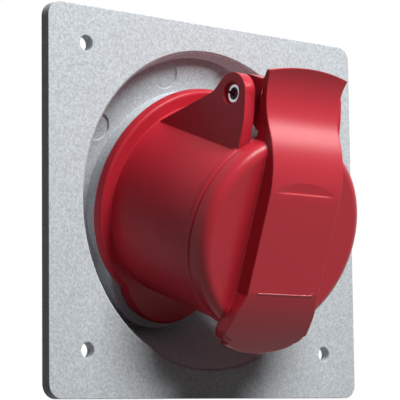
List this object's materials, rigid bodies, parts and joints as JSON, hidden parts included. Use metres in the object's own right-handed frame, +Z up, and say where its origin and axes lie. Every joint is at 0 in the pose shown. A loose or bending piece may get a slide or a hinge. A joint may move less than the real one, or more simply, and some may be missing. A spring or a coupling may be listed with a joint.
{
  "type": "industrial panel socket",
  "caption": "Angled industrial panel socket outlet: a grey flange with a deep round recess, a red round socket tilted downward and a sprung hinged lid.",
  "frame": {"origin": "middle of the four fixing holes, on the plane where the flange meets the panel", "axes": "+X to the right and +Z up as seen from the front; the front faces -Y and the recess goes back along +Y"},
  "size_m": [0.116, 0.0904, 0.1088],
  "materials": {
    "flange_grey": "fine spark-eroded texture",
    "housing_red": "satin moulded",
    "lid_red": "satin moulded",
    "seal_rubber": "matt",
    "carrier_black": "satin moulded",
    "contact_brass": "turned, plain",
    "screw_steel": "zinc plated",
    "pin_steel": "stainless, plain",
    "spring_steel": "drawn wire"
  },
  "bodies": {
    "socket": {"flange": "flange_grey", "panel_gasket": "seal_rubber", "seat_seal": "seal_rubber", "housing": "housing_red", "housing_screws": "screw_steel", "hinge_pin": "pin_steel", "lid_spring": "spring_steel", "contact_carrier": "carrier_black", "carrier_seal": "seal_rubber", "carrier_screws": "screw_steel", "contact_retainer": "carrier_black", "retainer_screw": "screw_steel", "contact_l1": "contact_brass", "contact_l2": "contact_brass", "contact_l3": "contact_brass", "contact_earth": "contact_brass", "line_grip_rings": "spring_steel", "earth_grip_ring": "spring_steel", "terminal_screws": "screw_steel"},
    "lid": {"lid": "lid_red", "lid_gasket": "seal_rubber"}
  },
  "joints": [
    {"name": "lid_hinge", "type": "hinge", "parent": "socket", "child": "lid", "pos_m": [0, -0.03328, 0.02703], "axis": [-1, 0, 0], "range_deg": [0, 110], "stiffness_Nm_per_rad": 0.03, "springref_deg": -51.57}
  ]
}
